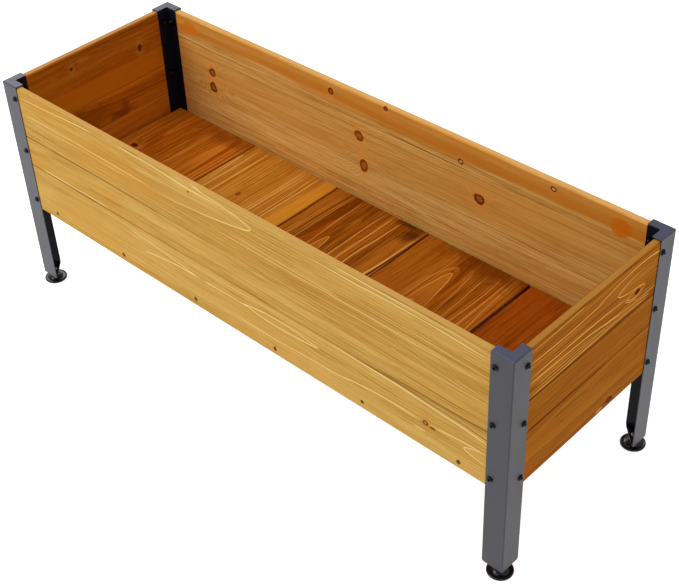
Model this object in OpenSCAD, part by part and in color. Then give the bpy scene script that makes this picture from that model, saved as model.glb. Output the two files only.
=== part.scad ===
// Raised planter: a long timber trough held by four folded steel corner posts.
// The boards of each wall are bolted between the post outside and an angle bracket
// inside, and each post stands on a foot that screws up and down to level the trough.
// X runs along the trough, Y across it and Z up. The origin is on the ground, at the
// middle of the footprint.

/* [Trough] */
// Length over the posts
planter_l = 1100; // [900:10:1400]
// Width over the posts
planter_w = 376; // [320:2:480]
// Height of the walls
wall_h = 252; // [230:2:300]
// Thickness of the wall boards and the floor boards
board_t = 13; // [12:0.5:18]
// Height from the foot of a post to the underside of the walls
leg_clear = 160; // [120:5:260]

/* [Wall boards] */
// Height of the lowest board of the front wall and of the right end wall
front_bottom_h = 98; // [80:1:110]
// Height of the middle board of the front wall and of both end walls
front_middle_h = 59; // [45:1:80]
// Height of the lowest board of the left end wall
left_bottom_h = 81; // [72:1:110]
// Height of the lowest board of the back wall
back_bottom_h = 70; // [50:1:90]
// Height of the middle board of the back wall
back_middle_h = 129; // [90:1:135]

/* [Floor] */
// Number of floor boards
floor_count = 5; // [4:1:6]
// Drainage gap between floor boards
floor_gap = 2; // [1:0.5:6]
// Gap before the last floor board
floor_last_gap = 4.5; // [1:0.5:8]
// Height of the floor's underside above the underside of the walls
floor_up = 27; // [27:1:40]
// Number of nails in each floor ledger
nail_count = 6; // [3:1:9]

/* [Posts] */
// Width of each flange of a post
flange_w = 38; // [36:0.5:50]
// Sheet thickness of the posts and brackets
steel_t = 1.5; // [1:0.1:2]
// Distance of the wall bolts from the outer faces of a post
bolt_inset = 30; // [29:0.5:31]

/* [Feet] */
// Height of a post's lower end above the ground
foot_h = 17; // [17:0.5:22]
// Diameter of a foot's pad
pad_d = 42; // [36:1:60]
// Distance of a foot's stem from the outer faces of its post
foot_inset = 14; // [13.5:0.1:14.5]

/* [Hidden] */
$fn = 64;
ROUND_UP = 1 / cos(30);

wall_depth = steel_t + board_t + steel_t;
bracket_at = steel_t + board_t;
wall_z = foot_h + leg_clear;
wall_top_z = wall_z + wall_h;
post_top_gap = 1.5;
post_top_z = wall_top_z + post_top_gap + steel_t;

bend_r = 2;
fold_r = 1.6;
post_corner_r = 4;
cut_over = 1;

bolt_r = 3;
bolt_hole_r = 3.25;
bolt_l = 25;
bolt_tip = 0.8;
bolt_head_r = 5.25;
bolt_head_h = 3.3;
bolt_head_sphere_r = (bolt_head_r * bolt_head_r + bolt_head_h * bolt_head_h) / (2 * bolt_head_h);
bolt_socket_af = 4;
bolt_socket_depth = 2;
bolt_low = 20;
bolt_high = wall_h - 22;
BOLT_ROWS = [wall_z + bolt_low, wall_z + (bolt_low + bolt_high) / 2, wall_z + bolt_high];
thread_gap = 0.05;
nut_af = 10;
nut_h = 5;

arris = 0.7;
rim_round = 2;
tongue_w = 4;
tongue_h = 4;
groove_gap = 0.15;
wall_end_gap = 0.5;
corner_gap = 0.3;

floor_side_gap = 1;
floor_end_gap = 2.5;
floor_inner_l = planter_l - 2 * (wall_depth + floor_end_gap);
floor_gaps = (floor_count - 2) * floor_gap + floor_last_gap;
floor_board_w = (floor_inner_l - floor_gaps) / floor_count;
floor_board_l = planter_w - 2 * (wall_depth + floor_side_gap);
floor_z = wall_z + floor_up;
floor_arris = 1.2;

ledger_w = 20;
ledger_h = 22;
ledger_gap = 2;
ledger_l = planter_l - 2 * (flange_w + ledger_gap);

nail_l = 30;
nail_r = 1;
nail_head_r = 2.3;
nail_head_h = 1.2;
nail_sink = 0.4;
nail_gap = 0.1;
nail_inset = 87;
nail_pitch = (planter_l - 2 * nail_inset) / (nail_count - 1);
nail_z = floor_z - ledger_h / 2;

foot_plate_t = 3;
foot_plate_hole_r = 4.5;
foot_plate_tip = 2;
stem_r = 4;
stem_gap = 0.05;
stem_rise = 5;
stem_tip = 1;
stem_nut_af = 13;
stem_nut_h = 5;
swivel_r = 5.5;
swivel_z = 2;
swivel_h = 2;
swivel_play = 0.3;
collar_af = 13;
collar_z = 7.3;
collar_h = 2.2;
pad_h = 7;
pad_rim_h = 4;
pad_neck_r = 9;

STEEL_COLOUR = "#55565f";
BRACKET_COLOUR = "#17171b";
FASTENER_COLOUR = "#101013";
ZINC_COLOUR = "#c9ccd0";
PAD_COLOUR = "#0d0d0f";
WALL_COLOUR = "#c8974f";
FLOOR_COLOUR = "#8a4c15";
LEDGER_COLOUR = "#a97434";

// name, side along X, side along Y
CORNERS = [
    ["front_left", -1, -1],
    ["front_right", 1, -1],
    ["back_left", -1, 1],
    ["back_right", 1, 1]
];
// name, runs along X, side it stands on, height of the bottom board, height of the middle one
WALLS = [
    ["front", true, -1, front_bottom_h, front_middle_h],
    ["back", true, 1, back_bottom_h, back_middle_h],
    ["left", false, -1, left_bottom_h, front_middle_h],
    ["right", false, 1, front_bottom_h, front_middle_h]
];
LEVELS = ["bottom", "middle", "top"];
SIDES = [["front", -1], ["back", 1]];
CORNER_PARTS = ["post", "bracket", "bolts", "nuts", "foot_plate", "foot_nut", "foot_stem", "foot_pad"];

// Places a part drawn with the post's outer corner at the origin and its flanges
// along +X and +Y.
module at_corner(corner) {
    translate([corner[1] * planter_l / 2, corner[2] * planter_w / 2, 0])
        mirror([corner[1] > 0 ? 1 : 0, 0, 0])
            mirror([0, corner[2] > 0 ? 1 : 0, 0])
                children();
}

// Draws a part for the flange along +X and again for the flange along +Y.
module on_both_flanges() {
    children();
    mirror([1, -1, 0]) children();
}

// Turns a profile's extrusion to run along X, with its own X across the trough.
module along_x() {
    rotate([90, 0, 90]) children();
}

// Turns a profile's extrusion to run along Y, with its own X along the trough.
module along_y() {
    rotate([90, 0, 0]) children();
}

// A square from the origin with its corner at the origin rounded.
module rounded_corner_square(side, r) {
    translate([r, 0]) square([side - r, side]);
    translate([0, r]) square([side, side - r]);
    translate([r, r]) circle(r);
}

// Section of an angle: two equal flanges with a bend between them.
module angle_section(width, thickness) {
    difference() {
        rounded_corner_square(width, bend_r);
        translate([thickness, thickness]) rounded_corner_square(width, bend_r - thickness / 2);
    }
}

// Holes for the three bolts of each flange, from outside the post to inside the bracket.
module corner_bolt_holes() {
    on_both_flanges()
        for (z = BOLT_ROWS)
            translate([bolt_inset, -cut_over, z])
                rotate([-90, 0, 0])
                    cylinder(r = bolt_hole_r, h = wall_depth + 2 * cut_over);
}

// What is cut off to round the free lower corner of each flange.
module lower_corner_cuts() {
    on_both_flanges()
        translate([flange_w - post_corner_r, -cut_over, foot_h - cut_over])
            difference() {
                cube([post_corner_r + cut_over, steel_t + 2 * cut_over, post_corner_r + cut_over]);
                translate([0, -cut_over, post_corner_r + cut_over])
                    rotate([-90, 0, 0])
                        cylinder(r = post_corner_r, h = steel_t + 4 * cut_over);
            }
}

// What is cut off to round the folded upper edge of each flange.
module upper_fold_cuts() {
    on_both_flanges()
        translate([-cut_over, -cut_over, post_top_z - fold_r])
            difference() {
                cube([flange_w + 2 * cut_over, fold_r + cut_over, fold_r + cut_over]);
                translate([-cut_over, fold_r + cut_over, 0])
                    rotate([0, 90, 0])
                        cylinder(r = fold_r, h = flange_w + 4 * cut_over);
            }
}

// Corner post: an angle whose top is folded over the ends of the walls.
module post() {
    color(STEEL_COLOUR)
        difference() {
            union() {
                translate([0, 0, foot_h])
                    linear_extrude(post_top_z - foot_h)
                        angle_section(flange_w, steel_t);
                translate([0, 0, post_top_z - steel_t])
                    linear_extrude(steel_t)
                        difference() {
                            rounded_corner_square(flange_w, bend_r);
                            translate([wall_depth, wall_depth]) square(flange_w);
                        }
            }
            corner_bolt_holes();
            lower_corner_cuts();
            upper_fold_cuts();
        }
}

// Angle bracket in the inside corner of the trough.
module bracket() {
    color(BRACKET_COLOUR)
        difference() {
            translate([bracket_at, bracket_at, wall_z])
                linear_extrude(wall_h)
                    angle_section(flange_w - bracket_at, steel_t);
            corner_bolt_holes();
        }
}

// Button-head bolt along +Z, with the underside of its head at the origin.
module button_bolt() {
    difference() {
        union() {
            cylinder(r = bolt_r, h = bolt_l - bolt_tip);
            translate([0, 0, bolt_l - bolt_tip])
                cylinder(r1 = bolt_r, r2 = bolt_r - bolt_tip, h = bolt_tip);
            intersection() {
                translate([0, 0, bolt_head_sphere_r - bolt_head_h]) sphere(bolt_head_sphere_r);
                translate([0, 0, -bolt_head_h]) cylinder(r = bolt_head_r + 1, h = bolt_head_h);
            }
        }
        translate([0, 0, -bolt_head_h - cut_over])
            cylinder(r = bolt_socket_af / 2 * ROUND_UP, h = bolt_socket_depth + cut_over, $fn = 6);
    }
}

// The six bolts of one corner.
module bolts() {
    color(FASTENER_COLOUR)
        on_both_flanges()
            for (z = BOLT_ROWS)
                translate([bolt_inset, 0, z])
                    rotate([-90, 0, 0])
                        button_bolt();
}

// Hexagon nut on the ground plane, chamfered at both ends.
module hex_nut(across_flats, height, bore_r) {
    corner_r = across_flats / 2 * ROUND_UP;
    chamfer = corner_r - across_flats / 2;
    difference() {
        intersection() {
            cylinder(r = corner_r, h = height, $fn = 6);
            rotate_extrude()
                polygon([
                    [0, 0],
                    [across_flats / 2, 0],
                    [corner_r, chamfer],
                    [corner_r, height - chamfer],
                    [across_flats / 2, height],
                    [0, height]
                ]);
        }
        translate([0, 0, -cut_over]) cylinder(r = bore_r, h = height + 2 * cut_over);
    }
}

// The six nuts of one corner, against the inside of the bracket.
module nuts() {
    color(FASTENER_COLOUR)
        on_both_flanges()
            for (z = BOLT_ROWS)
                translate([bolt_inset, wall_depth, z])
                    rotate([-90, 0, 0])
                        hex_nut(nut_af, nut_h, bolt_r + thread_gap);
}

// Three-cornered plate welded across the foot of a post.
module foot_plate() {
    side = flange_w - steel_t - foot_plate_tip;
    color(STEEL_COLOUR)
        translate([0, 0, foot_h])
            linear_extrude(foot_plate_t)
                difference() {
                    translate([steel_t, steel_t])
                        polygon([
                            [bend_r, 0],
                            [side, 0],
                            [side, foot_plate_tip],
                            [foot_plate_tip, side],
                            [0, side],
                            [0, bend_r]
                        ]);
                    translate([foot_inset, foot_inset]) circle(foot_plate_hole_r);
                }
}

// Nut welded under the foot plate, which the stem screws through.
module foot_nut() {
    color(STEEL_COLOUR)
        translate([foot_inset, foot_inset, foot_h - stem_nut_h])
            hex_nut(stem_nut_af, stem_nut_h, stem_r + stem_gap);
}

// Screwed stem of a foot: a swivel disc in the pad, a spanner collar and the thread.
module foot_stem() {
    top_z = foot_h + stem_rise;
    color(ZINC_COLOUR)
        translate([foot_inset, foot_inset, 0]) {
            translate([0, 0, swivel_z]) cylinder(r = swivel_r, h = swivel_h);
            translate([0, 0, swivel_z]) cylinder(r = stem_r, h = top_z - stem_tip - swivel_z);
            translate([0, 0, top_z - stem_tip])
                cylinder(r1 = stem_r, r2 = stem_r - stem_tip, h = stem_tip);
            translate([0, 0, collar_z]) hex_nut(collar_af, collar_h, stem_r - stem_gap);
        }
}

// Pad of a foot: a wide disc with a raised rim and a neck that holds the swivel disc.
module foot_pad() {
    pad_r = pad_d / 2;
    color(PAD_COLOUR)
        translate([foot_inset, foot_inset, 0])
            difference() {
                rotate_extrude()
                    polygon([
                        [0, 0],
                        [pad_r - 1.5, 0],
                        [pad_r, 1],
                        [pad_r, pad_rim_h - 1],
                        [pad_r - 0.5, pad_rim_h - 0.2],
                        [pad_r - 1.2, pad_rim_h],
                        [pad_r - 2, pad_rim_h - 0.3],
                        [pad_r - 3, pad_rim_h - 1],
                        [pad_neck_r + 3, pad_h - 2],
                        [pad_neck_r, pad_h - 0.6],
                        [pad_neck_r - 0.8, pad_h],
                        [0, pad_h]
                    ]);
                translate([0, 0, swivel_z - swivel_play])
                    cylinder(r = swivel_r + stem_gap, h = swivel_h + 2 * swivel_play);
                translate([0, 0, swivel_z])
                    cylinder(r = stem_r + stem_gap, h = pad_h);
            }
}

// Section of a wall board: its X is the thickness, from the outer face, and its Y is up.
// low_edge and high_edge size the chamfers, and joined edges have a groove or a tongue.
module wall_board_section(height, low_edge, high_edge, has_groove, has_tongue) {
    middle = board_t / 2;
    difference() {
        union() {
            polygon([
                [low_edge, 0],
                [board_t - low_edge, 0],
                [board_t, low_edge],
                [board_t, height - high_edge],
                [board_t - high_edge, height],
                [high_edge, height],
                [0, height - high_edge],
                [0, low_edge]
            ]);
            if (has_tongue)
                translate([middle - tongue_w / 2, height - cut_over])
                    square([tongue_w, tongue_h + cut_over]);
        }
        if (has_groove)
            translate([middle - tongue_w / 2 - groove_gap, -cut_over])
                square([tongue_w + 2 * groove_gap, tongue_h + groove_gap + cut_over]);
    }
}

// Holes for the bolts at both ends of a wall, through its thickness along Y.
module wall_bolt_holes(span) {
    for (side = [-1, 1], z = BOLT_ROWS)
        translate([side * (span / 2 - bolt_inset), -cut_over, z])
            rotate([-90, 0, 0])
                cylinder(r = bolt_hole_r, h = board_t + 2 * cut_over);
}

// Holes for the nails of a ledger, through the wall board and into the ledger.
module nail_holes() {
    for (i = [0:nail_count - 1])
        translate([nail_inset - planter_l / 2 + i * nail_pitch, -cut_over, nail_z])
            rotate([-90, 0, 0]) {
                cylinder(r = nail_r + nail_gap, h = nail_l + nail_sink + nail_gap + cut_over);
                cylinder(r = nail_head_r + nail_gap, h = nail_head_h + nail_sink + cut_over);
            }
}

// One board of a wall that runs along X, with the wall's outer face at y = 0.
module long_board(low_z, height, low_edge, high_edge, has_groove, has_tongue) {
    difference() {
        along_x()
            translate([0, low_z])
                linear_extrude(planter_l - 2 * (steel_t + wall_end_gap), center = true)
                    wall_board_section(height, low_edge, high_edge, has_groove, has_tongue);
        wall_bolt_holes(planter_l);
        nail_holes();
    }
}

// One board of an end wall, drawn along X like a long one.
module end_board(low_z, height, low_edge, high_edge, has_groove, has_tongue) {
    difference() {
        along_x()
            translate([0, low_z])
                linear_extrude(planter_w - 2 * (bracket_at + corner_gap), center = true)
                    wall_board_section(height, low_edge, high_edge, has_groove, has_tongue);
        wall_bolt_holes(planter_w);
    }
}

// Turns a wall drawn facing the front to stand on its own side.
module place_wall(wall) {
    outer = (wall[1] ? planter_w : planter_l) / 2 - steel_t;
    if (wall[1])
        mirror([0, wall[2] > 0 ? 1 : 0, 0]) translate([0, -outer, 0]) children();
    else
        mirror([wall[2] > 0 ? 1 : 0, 0, 0]) rotate([0, 0, -90]) translate([0, -outer, 0]) children();
}

// The board of a wall at one level, from 0 at the bottom to 2 at the top.
module wall_board(wall, level) {
    edges = [0, wall[3], wall[3] + wall[4], wall_h];
    low_z = wall_z + edges[level];
    height = edges[level + 1] - edges[level];
    low_edge = level == 0 ? rim_round : arris;
    high_edge = level == 2 ? rim_round : arris;
    color(WALL_COLOUR)
        place_wall(wall)
            if (wall[1])
                long_board(low_z, height, low_edge, high_edge, level > 0, level < 2);
            else
                end_board(low_z, height, low_edge, high_edge, level > 0, level < 2);
}

// Floor board, counted from 1 at the left end.
module floor_board(i) {
    last_extra = i == floor_count ? floor_last_gap - floor_gap : 0;
    low_x = -floor_inner_l / 2 + (i - 1) * (floor_board_w + floor_gap) + last_extra;
    color(FLOOR_COLOUR)
        along_y()
            translate([low_x, floor_z])
                linear_extrude(floor_board_l, center = true)
                    polygon([
                        [floor_arris, 0],
                        [floor_board_w - floor_arris, 0],
                        [floor_board_w, floor_arris],
                        [floor_board_w, board_t - floor_arris],
                        [floor_board_w - floor_arris, board_t],
                        [floor_arris, board_t],
                        [0, board_t - floor_arris],
                        [0, floor_arris]
                    ]);
}

// Places a part drawn with the long wall's outer face at y = 0 on the front or the back.
module on_long_wall(side) {
    mirror([0, side > 0 ? 1 : 0, 0]) translate([0, steel_t - planter_w / 2, 0]) children();
}

// Ledger that carries the ends of the floor boards along a long wall.
module floor_ledger(side) {
    color(LEDGER_COLOUR)
        on_long_wall(side)
            difference() {
                translate([-ledger_l / 2, board_t, floor_z - ledger_h])
                    cube([ledger_l, ledger_w, ledger_h]);
                nail_holes();
            }
}

// The nails that hold one ledger to its wall.
module ledger_nails(side) {
    color(FASTENER_COLOUR)
        on_long_wall(side)
            for (i = [0:nail_count - 1])
                translate([nail_inset - planter_l / 2 + i * nail_pitch, nail_sink, nail_z])
                    rotate([-90, 0, 0]) {
                        cylinder(r = nail_head_r, h = nail_head_h);
                        cylinder(r = nail_r, h = nail_l);
                    }
}

for (corner = CORNERS) {
    at_corner(corner) post();
    at_corner(corner) bracket();
    at_corner(corner) bolts();
    at_corner(corner) nuts();
    at_corner(corner) foot_plate();
    at_corner(corner) foot_nut();
    at_corner(corner) foot_stem();
    at_corner(corner) foot_pad();
}
for (wall = WALLS, level = [0:2])
    wall_board(wall, level);
for (i = [1:floor_count])
    floor_board(i);
for (side = SIDES) {
    floor_ledger(side[1]);
    ledger_nails(side[1]);
}
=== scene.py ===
import math

import bmesh
import bpy
from mathutils import Matrix, Vector


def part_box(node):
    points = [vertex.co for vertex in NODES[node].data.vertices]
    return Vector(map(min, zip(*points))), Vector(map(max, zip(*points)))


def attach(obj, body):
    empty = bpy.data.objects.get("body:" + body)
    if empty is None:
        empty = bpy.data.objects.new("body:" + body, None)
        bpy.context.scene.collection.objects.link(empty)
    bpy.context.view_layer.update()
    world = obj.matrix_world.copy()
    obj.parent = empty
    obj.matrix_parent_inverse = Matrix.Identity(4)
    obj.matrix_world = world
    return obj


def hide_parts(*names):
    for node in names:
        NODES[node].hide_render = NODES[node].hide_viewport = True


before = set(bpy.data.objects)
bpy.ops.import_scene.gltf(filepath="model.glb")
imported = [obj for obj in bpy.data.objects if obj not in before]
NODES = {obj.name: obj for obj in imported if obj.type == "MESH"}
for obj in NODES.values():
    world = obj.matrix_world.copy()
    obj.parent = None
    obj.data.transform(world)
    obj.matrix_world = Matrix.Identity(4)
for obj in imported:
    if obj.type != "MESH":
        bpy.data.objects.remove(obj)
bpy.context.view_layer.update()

MM = 0.001
# Which way each corner lies from the trough's middle, along X and along Y.
CORNERS = {
    "front_left": (-1, -1),
    "front_right": (1, -1),
    "back_left": (-1, 1),
    "back_right": (1, 1),
}


# ---------------------------------------------------------------- node graphs


class Graph:
    """A material under construction, with short calls for the nodes it uses most."""

    def __init__(self, name):
        self.material = bpy.data.materials.new(name)
        self.material.use_nodes = True
        self.tree = self.material.node_tree
        self.tree.nodes.clear()

    def add(self, kind, inputs=None, **settings):
        """A node of that kind. inputs maps a socket's name or number to a value or an output."""
        node = self.tree.nodes.new(kind)
        for key, value in settings.items():
            setattr(node, key, value)
        for key, value in (inputs or {}).items():
            if isinstance(value, bpy.types.NodeSocket):
                self.tree.links.new(value, node.inputs[key])
            else:
                node.inputs[key].default_value = value
        return node

    def math(self, operation, *values):
        inputs = dict(enumerate(values))
        return self.add("ShaderNodeMath", inputs, operation=operation).outputs[0]

    def vector(self, operation, *values, output=0):
        inputs = dict(enumerate(values))
        return self.add("ShaderNodeVectorMath", inputs, operation=operation).outputs[output]

    def join(self, x, y, z=0.0):
        return self.add("ShaderNodeCombineXYZ", {0: x, 1: y, 2: z}).outputs[0]

    def split(self, vector):
        return self.add("ShaderNodeSeparateXYZ", {0: vector}).outputs

    def total(self, first, *others):
        for other in others:
            first = self.math("ADD", first, other)
        return first

    def product(self, first, *others):
        for other in others:
            first = self.math("MULTIPLY", first, other)
        return first

    def noise(self, vector, scale, seed=0.0, detail=2.0, roughness=0.5):
        """Noise from 0 to 1 with its own scale along each axis, in cycles for each metre."""
        placed = self.vector("MULTIPLY_ADD", vector, scale, (seed, seed * 1.7, seed * 0.6))
        inputs = {"Vector": placed, "Scale": 1.0, "Detail": detail, "Roughness": roughness}
        return self.add("ShaderNodeTexNoise", inputs).outputs[0]

    def random(self, value, seed):
        """A number from 0 to 1 that stays the same for one value."""
        shifted = self.math("ADD", value, seed)
        return self.add("ShaderNodeTexWhiteNoise", {"W": shifted}, noise_dimensions="1D").outputs[0]

    def step(self, value, low, high):
        """A smooth rise from 0 at low to 1 at high."""
        inputs = {"Value": value, "From Min": low, "From Max": high}
        return self.add("ShaderNodeMapRange", inputs, interpolation_type="SMOOTHSTEP").outputs[0]

    def spread(self, value, low, high, to_low, to_high):
        """A straight map of low..high onto to_low..to_high."""
        inputs = {0: value, 1: low, 2: high, 3: to_low, 4: to_high}
        return self.add("ShaderNodeMapRange", inputs).outputs[0]

    def bell(self, place, centre, widths):
        """1 at centre, falling off as a bell with those widths."""
        offset = self.vector("SUBTRACT", place, centre)
        scaled = self.vector("MULTIPLY", offset, [1 / width for width in widths] + [0.0])
        squared = self.vector("DOT_PRODUCT", scaled, scaled, output="Value")
        return self.math("EXPONENT", self.math("MULTIPLY", squared, -1.0))

    def ramp(self, value, stops):
        """Colours along a value: stops are (place, colour) pairs."""
        node = self.add("ShaderNodeValToRGB", {0: value})
        elements = node.color_ramp.elements
        while len(elements) < len(stops):
            elements.new(0.5)
        for element, (place, colour) in zip(elements, stops):
            element.position, element.color = place, (*colour, 1.0)
        return node.outputs[0]

    def blend(self, factor, first, second, mode="MIX"):
        """Colour first with second laid over it by factor."""
        colours = [(*c, 1.0) if isinstance(c, tuple) else c for c in (first, second)]
        inputs = {0: factor, 6: colours[0], 7: colours[1]}
        node = self.add("ShaderNodeMix", inputs, data_type="RGBA", blend_type=mode)
        return node.outputs[2]

    def finish(self, **sockets):
        """The Principled shader with those sockets, and the material's output."""
        shader = self.add("ShaderNodeBsdfPrincipled")
        for name, value in sockets.items():
            socket = shader.inputs[name.replace("_", " ")]
            if isinstance(value, bpy.types.NodeSocket):
                self.tree.links.new(value, socket)
            else:
                socket.default_value = (*value, 1.0) if isinstance(value, tuple) else value
        self.add("ShaderNodeOutputMaterial", {0: shader.outputs[0]})
        return self.material

    def bump(self, height, distance, strength=1.0, normal=None):
        inputs = {"Height": height, "Distance": distance, "Strength": strength}
        if normal:
            inputs["Normal"] = normal
        return self.add("ShaderNodeBump", inputs).outputs[0]


def linear(red, green, blue):
    """An sRGB colour, 0 to 255, as the linear values that shaders take."""
    def channel(value):
        value /= 255
        return value / 12.92 if value <= 0.04045 else ((value + 0.055) / 1.055) ** 2.4

    return tuple(channel(value) for value in (red, green, blue))


# ------------------------------------------------------------------------ wood

# Stained fir as it looks under the studio's light. dark is the soft wood that drinks the stain,
# deep is where stain gathers, line the hard late wood that stays pale, and warm the colour
# that a board drifts to.
LOOKS = {
    "honey": dict(deep=(108, 58, 8), dark=(176, 124, 48), base=(204, 156, 78),
                  pale=(219, 173, 95), line=(255, 222, 150), warm=(205, 145, 62)),
    "amber": dict(deep=(88, 40, 2), dark=(124, 65, 5), base=(151, 90, 20),
                  pale=(173, 112, 36), line=(236, 178, 102), warm=(151, 82, 10)),
    "straw": dict(deep=(112, 60, 14), dark=(146, 88, 30), base=(172, 118, 56),
                  pale=(190, 141, 78), line=(214, 168, 104), warm=(178, 110, 44)),
    "rust": dict(deep=(66, 20, 0), dark=(92, 34, 1), base=(126, 57, 7),
                 pale=(140, 71, 14), line=(156, 88, 34), warm=(136, 58, 2)),
    "umber": dict(deep=(70, 26, 1), dark=(104, 45, 2), base=(145, 75, 10),
                  pale=(170, 98, 25), line=(212, 144, 64), warm=(152, 68, 3)),
    "gold": dict(deep=(112, 56, 3), dark=(146, 79, 7), base=(171, 104, 27),
                 pale=(192, 128, 46), line=(226, 166, 88), warm=(170, 96, 14)),
}
# The dark rim of each kind of knot, and the colour at its heart.
KNOTS = {
    "red": dict(rim=(112, 44, 2), heart=(146, 74, 24)),
    "ringed": dict(rim=(88, 34, 1), heart=(132, 70, 32)),
    "hole": dict(rim=(84, 28, 4), heart=(40, 8, 2)),
    "pale": dict(rim=(74, 30, 3), heart=(196, 140, 84)),
}
# The glow round a knot, and the shadow in a joint.
HALO = (194, 112, 42)
JOINT = (40, 16, 2)

# A board's traits, unless BOARDS says otherwise. Strengths run from 0 to 1.
PLAIN = dict(
    heart=0.5,  # height of the log's middle, as a share of the board's height
    depth=50,  # how far the log's middle lies behind the board, in millimetres
    taper=0.012,  # how much the log narrows for each unit of length
    wander=25,  # how far the rings stray, in millimetres
    spacing=3.5,  # from one ring to the next, in millimetres
    thick=0.2,  # share of a ring that is late wood
    rare=2.5,  # how few of the rings have a bright line
    lines=0.5,  # strength of those lines
    rings=0.4,  # strength of the shade within a ring
    bands=0.5,  # contrast of bands, streaks, fine streaks and fibres
    streaks=0.45,
    fine=0.9,
    fibres=0.5,
    warmth=0.6,  # strength of the warm clouds
    scratches=0.5,  # strength of the thin dark lines
    halo=0.5,  # strength of the glow round a knot
    edges=0.45,  # strength of the stain along the edges
    soak=4,  # width of that stain, in millimetres
    joint=0.35,  # strength of the shadow in a joint
)


class Board:
    """One board's grain, cut from its own imagined log.

    along and across are the axes of its length and height, 0 to 2. Places on the board, such
    as a knot's, are shares of its length and height; the sizes of marks are in millimetres.
    """

    def __init__(self, node, along, across, look, light, seed, traits):
        self.graph = Graph(f"wood_{node}")
        self.seed = seed
        self.light = light
        self.traits = PLAIN | traits
        self.colours = {key: self.shown(value) for key, value in LOOKS[look].items()}
        low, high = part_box(node)
        through = 3 - along - across
        self.length, self.height = high[along] - low[along], high[across] - low[across]
        self.depth = high[through] - low[through]
        graph = self.graph
        coords = graph.add("ShaderNodeTexCoord").outputs["Object"]
        axes = graph.split(graph.vector("SUBTRACT", coords, tuple(low)))
        self.u, self.v, self.w = axes[along], axes[across], axes[through]
        self.place = graph.join(self.u, self.v, self.w)
        # Marks sit on a plane that the grain's wander bends a little.
        wander = self.swing(self.noise(6.0, 20.0, 37), 5 * MM)
        self.marked_v = graph.math("ADD", self.v, wander)
        self.flat = graph.join(self.u, self.marked_v)

    def shown(self, colour):
        """The paint that shows as that colour in the light that reaches this board."""
        return tuple(min(0.9, c / l) for c, l in zip(linear(*colour), self.light))

    def at(self, a, b):
        return Vector((a * self.length, b * self.height, 0))

    def noise(self, along, across, number, detail=1.0, roughness=0.5):
        """Noise drawn out along the grain: cycles for each metre along it and across it."""
        scale = (along, across, across)
        return self.graph.noise(self.place, scale, self.seed + number, detail, roughness)

    def swing(self, value, amount):
        """Noise from 0 to 1 made to swing by amount to either side of nought."""
        return self.graph.spread(value, 0, 1, -amount, amount)

    def scaled(self, a, b, long, wide):
        """Each point's place from a, b, where 1 is long along the board and wide across it."""
        offset = self.graph.vector("SUBTRACT", self.flat, self.at(a, b))
        return self.graph.vector("MULTIPLY", offset, (1 / (long * MM), 1 / (wide * MM), 0.0))

    def reach(self, a, b, long, wide):
        """How far each point is from a, b, where 1 is the edge of an oval of that size."""
        return self.graph.vector("LENGTH", self.scaled(a, b, long, wide), output="Value")

    def rings(self):
        """How many growth rings lie between the log's middle and each point."""
        graph, traits = self.graph, self.traits
        wander = traits["wander"] * MM
        drift = graph.math(
            "ADD",
            self.swing(self.noise(2.1, 7.0, 0), wander),
            self.swing(self.noise(12.0, 40.0, 3), wander * 0.12),
        )
        heart = traits["heart"] * self.height
        sideways = graph.math("ADD", graph.math("SUBTRACT", self.v, heart), drift)
        inward = graph.math("ADD", self.w, traits["depth"] * MM)
        squares = [graph.product(side, side) for side in (sideways, inward)]
        radius = graph.math("SQRT", graph.total(*squares))
        lean = graph.math("MULTIPLY", self.u, traits["taper"])
        radius = graph.math("SUBTRACT", radius, lean)
        for a, b, long, wide, kind in traits.get("knots", ()):
            bulge = graph.bell(self.flat, self.at(a, b), (long * 3.2 * MM, wide * 2.0 * MM))
            radius = graph.math("ADD", radius, graph.math("MULTIPLY", bulge, wide * 1.2 * MM))
        return graph.math("DIVIDE", radius, traits["spacing"] * MM)

    def tone(self, phase, luck, fine, fibre):
        """How pale each point is: the shade within its ring, and four sizes of streak."""
        graph, traits = self.graph, self.traits
        early = graph.product(
            graph.math("SUBTRACT", phase, 0.45), graph.spread(luck, 0, 1, 0.2, 1.0)
        )
        return graph.total(
            0.5,
            self.swing(self.noise(1.1, 24.0, 11, 3.0, 0.6), traits["bands"]),
            graph.math("MULTIPLY", early, traits["rings"]),
            self.swing(self.noise(3.5, 190.0, 17, 2.0, 0.6), traits["streaks"]),
            self.swing(fine, traits["fine"]),
            self.swing(fibre, traits["fibres"]),
        )

    def scratched(self, colour, fade):
        """Thin dark lines that come and go along the grain."""
        graph = self.graph
        ridge = self.noise(1.3, 44.0, 29, 2.0, 0.6)
        ridge = graph.math("ABSOLUTE", graph.math("SUBTRACT", ridge, 0.5))
        scratch = graph.product(
            graph.step(ridge, 0.014, 0.0), graph.step(fade, 0.4, 0.65), self.traits["scratches"]
        )
        return graph.blend(scratch, colour, self.colours["dark"])

    def lined(self, colour, late, luck, fade):
        """Bright lines of hard late wood, in a few lucky rings."""
        graph, traits = self.graph, self.traits
        strong = graph.math("POWER", luck, traits["rare"])
        bright = graph.product(late, strong, graph.step(fade, 0.36, 0.6), traits["lines"])
        return graph.blend(bright, colour, self.colours["line"])

    def ducts(self, colour):
        """Resin ducts: tiny dark dashes along the grain."""
        graph = self.graph
        dash = graph.product(graph.step(self.noise(60.0, 1300.0, 23, 0.0), 0.72, 0.8), 0.4)
        return graph.blend(dash, colour, self.colours["dark"])

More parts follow.
